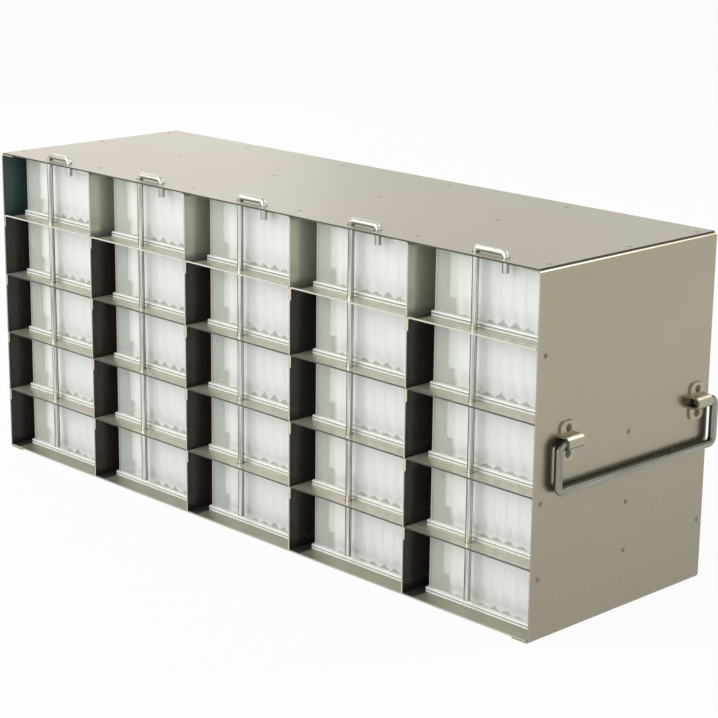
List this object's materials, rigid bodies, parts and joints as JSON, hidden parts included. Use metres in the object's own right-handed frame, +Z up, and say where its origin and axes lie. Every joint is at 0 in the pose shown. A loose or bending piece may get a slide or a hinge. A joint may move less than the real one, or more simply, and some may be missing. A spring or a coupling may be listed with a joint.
{
  "type": "freezer plate rack",
  "caption": "Open-front stainless sheet freezer rack holding well plates on shelves, with a lift-out wire locking rod down each column and a swinging wire bail handle on the right end.",
  "frame": {"origin": "bottom centre of the box around the whole rack, on the surface that it stands on", "axes": "+X along the row of columns towards the handle, -Y out of the open front, +Z up"},
  "size_m": [0.4778, 0.1506, 0.2074],
  "materials": {
    "case_steel": "fine mill finish",
    "wire_steel": "bright drawn",
    "plate_plastic": "natural translucent moulding"
  },
  "bodies": {
    "rack": {"top_sheet": "case_steel", "floor_sheet": "case_steel", "left_end_panel": "case_steel", "right_end_panel": "case_steel", "divider_1": "case_steel", "divider_2": "case_steel", "divider_3": "case_steel", "divider_4": "case_steel", "shelves_column_1": "case_steel", "shelves_column_2": "case_steel", "shelves_column_3": "case_steel", "shelves_column_4": "case_steel", "shelves_column_5": "case_steel", "handle_clip_front": "case_steel", "handle_clip_rear": "case_steel", "handle_rivets": "wire_steel"},
    "rod_1": {"locking_rod_1": "wire_steel"},
    "rod_2": {"locking_rod_2": "wire_steel"},
    "rod_3": {"locking_rod_3": "wire_steel"},
    "rod_4": {"locking_rod_4": "wire_steel"},
    "rod_5": {"locking_rod_5": "wire_steel"},
    "handle": {"handle_bail": "wire_steel"},
    "plate_c1_r1": {"well_plate_c1_r1": "plate_plastic"},
    "plate_c1_r2": {"well_plate_c1_r2": "plate_plastic"},
    "plate_c1_r3": {"well_plate_c1_r3": "plate_plastic"},
    "plate_c1_r4": {"well_plate_c1_r4": "plate_plastic"},
    "plate_c1_r5": {"well_plate_c1_r5": "plate_plastic"},
    "plate_c2_r1": {"well_plate_c2_r1": "plate_plastic"},
    "plate_c2_r2": {"well_plate_c2_r2": "plate_plastic"},
    "plate_c2_r3": {"well_plate_c2_r3": "plate_plastic"},
    "plate_c2_r4": {"well_plate_c2_r4": "plate_plastic"},
    "plate_c2_r5": {"well_plate_c2_r5": "plate_plastic"},
    "plate_c3_r1": {"well_plate_c3_r1": "plate_plastic"},
    "plate_c3_r2": {"well_plate_c3_r2": "plate_plastic"},
    "plate_c3_r3": {"well_plate_c3_r3": "plate_plastic"},
    "plate_c3_r4": {"well_plate_c3_r4": "plate_plastic"},
    "plate_c3_r5": {"well_plate_c3_r5": "plate_plastic"},
    "plate_c4_r1": {"well_plate_c4_r1": "plate_plastic"},
    "plate_c4_r2": {"well_plate_c4_r2": "plate_plastic"},
    "plate_c4_r3": {"well_plate_c4_r3": "plate_plastic"},
    "plate_c4_r4": {"well_plate_c4_r4": "plate_plastic"},
    "plate_c4_r5": {"well_plate_c4_r5": "plate_plastic"},
    "plate_c5_r1": {"well_plate_c5_r1": "plate_plastic"},
    "plate_c5_r2": {"well_plate_c5_r2": "plate_plastic"},
    "plate_c5_r3": {"well_plate_c5_r3": "plate_plastic"},
    "plate_c5_r4": {"well_plate_c5_r4": "plate_plastic"},
    "plate_c5_r5": {"well_plate_c5_r5": "plate_plastic"}
  },
  "joints": [
    {"name": "rod_1_lift", "type": "slide", "parent": "rack", "child": "rod_1", "axis": [0, 0, 1], "range_m": [0, 0.2]},
    {"name": "rod_2_lift", "type": "slide", "parent": "rack", "child": "rod_2", "axis": [0, 0, 1], "range_m": [0, 0.2]},
    {"name": "rod_3_lift", "type": "slide", "parent": "rack", "child": "rod_3", "axis": [0, 0, 1], "range_m": [0, 0.2]},
    {"name": "rod_4_lift", "type": "slide", "parent": "rack", "child": "rod_4", "axis": [0, 0, 1], "range_m": [0, 0.2]},
    {"name": "rod_5_lift", "type": "slide", "parent": "rack", "child": "rod_5", "axis": [0, 0, 1], "range_m": [0, 0.2]},
    {"name": "handle_swing", "type": "hinge", "parent": "rack", "child": "handle", "pos_m": [0.23526, 0.00528, 0.108], "axis": [0, -1, 0], "range_deg": [0, 180]},
    {"name": "plate_c1_r1_slide", "type": "slide", "parent": "rack", "child": "plate_c1_r1", "axis": [0, -1, 0], "range_m": [-0.007, 0.0017]},
    {"name": "plate_c1_r2_slide", "type": "slide", "parent": "rack", "child": "plate_c1_r2", "axis": [0, -1, 0], "range_m": [-0.007, 0.0017]},
    {"name": "plate_c1_r3_slide", "type": "slide", "parent": "rack", "child": "plate_c1_r3", "axis": [0, -1, 0], "range_m": [-0.007, 0.0017]},
    {"name": "plate_c1_r4_slide", "type": "slide", "parent": "rack", "child": "plate_c1_r4", "axis": [0, -1, 0], "range_m": [-0.007, 0.0017]},
    {"name": "plate_c1_r5_slide", "type": "slide", "parent": "rack", "child": "plate_c1_r5", "axis": [0, -1, 0], "range_m": [-0.007, 0.0017]},
    {"name": "plate_c2_r1_slide", "type": "slide", "parent": "rack", "child": "plate_c2_r1", "axis": [0, -1, 0], "range_m": [-0.007, 0.0017]},
    {"name": "plate_c2_r2_slide", "type": "slide", "parent": "rack", "child": "plate_c2_r2", "axis": [0, -1, 0], "range_m": [-0.007, 0.0017]},
    {"name": "plate_c2_r3_slide", "type": "slide", "parent": "rack", "child": "plate_c2_r3", "axis": [0, -1, 0], "range_m": [-0.007, 0.0017]},
    {"name": "plate_c2_r4_slide", "type": "slide", "parent": "rack", "child": "plate_c2_r4", "axis": [0, -1, 0], "range_m": [-0.007, 0.0017]},
    {"name": "plate_c2_r5_slide", "type": "slide", "parent": "rack", "child": "plate_c2_r5", "axis": [0, -1, 0], "range_m": [-0.007, 0.0017]},
    {"name": "plate_c3_r1_slide", "type": "slide", "parent": "rack", "child": "plate_c3_r1", "axis": [0, -1, 0], "range_m": [-0.007, 0.0017]},
    {"name": "plate_c3_r2_slide", "type": "slide", "parent": "rack", "child": "plate_c3_r2", "axis": [0, -1, 0], "range_m": [-0.007, 0.0017]},
    {"name": "plate_c3_r3_slide", "type": "slide", "parent": "rack", "child": "plate_c3_r3", "axis": [0, -1, 0], "range_m": [-0.007, 0.0017]},
    {"name": "plate_c3_r4_slide", "type": "slide", "parent": "rack", "child": "plate_c3_r4", "axis": [0, -1, 0], "range_m": [-0.007, 0.0017]},
    {"name": "plate_c3_r5_slide", "type": "slide", "parent": "rack", "child": "plate_c3_r5", "axis": [0, -1, 0], "range_m": [-0.007, 0.0017]},
    {"name": "plate_c4_r1_slide", "type": "slide", "parent": "rack", "child": "plate_c4_r1", "axis": [0, -1, 0], "range_m": [-0.007, 0.0017]},
    {"name": "plate_c4_r2_slide", "type": "slide", "parent": "rack", "child": "plate_c4_r2", "axis": [0, -1, 0], "range_m": [-0.007, 0.0017]},
    {"name": "plate_c4_r3_slide", "type": "slide", "parent": "rack", "child": "plate_c4_r3", "axis": [0, -1, 0], "range_m": [-0.007, 0.0017]},
    {"name": "plate_c4_r4_slide", "type": "slide", "parent": "rack", "child": "plate_c4_r4", "axis": [0, -1, 0], "range_m": [-0.007, 0.0017]},
    {"name": "plate_c4_r5_slide", "type": "slide", "parent": "rack", "child": "plate_c4_r5", "axis": [0, -1, 0], "range_m": [-0.007, 0.0017]},
    {"name": "plate_c5_r1_slide", "type": "slide", "parent": "rack", "child": "plate_c5_r1", "axis": [0, -1, 0], "range_m": [-0.007, 0.0017]},
    {"name": "plate_c5_r2_slide", "type": "slide", "parent": "rack", "child": "plate_c5_r2", "axis": [0, -1, 0], "range_m": [-0.007, 0.0017]},
    {"name": "plate_c5_r3_slide", "type": "slide", "parent": "rack", "child": "plate_c5_r3", "axis": [0, -1, 0], "range_m": [-0.007, 0.0017]},
    {"name": "plate_c5_r4_slide", "type": "slide", "parent": "rack", "child": "plate_c5_r4", "axis": [0, -1, 0], "range_m": [-0.007, 0.0017]},
    {"name": "plate_c5_r5_slide", "type": "slide", "parent": "rack", "child": "plate_c5_r5", "axis": [0, -1, 0], "range_m": [-0.007, 0.0017]}
  ]
}
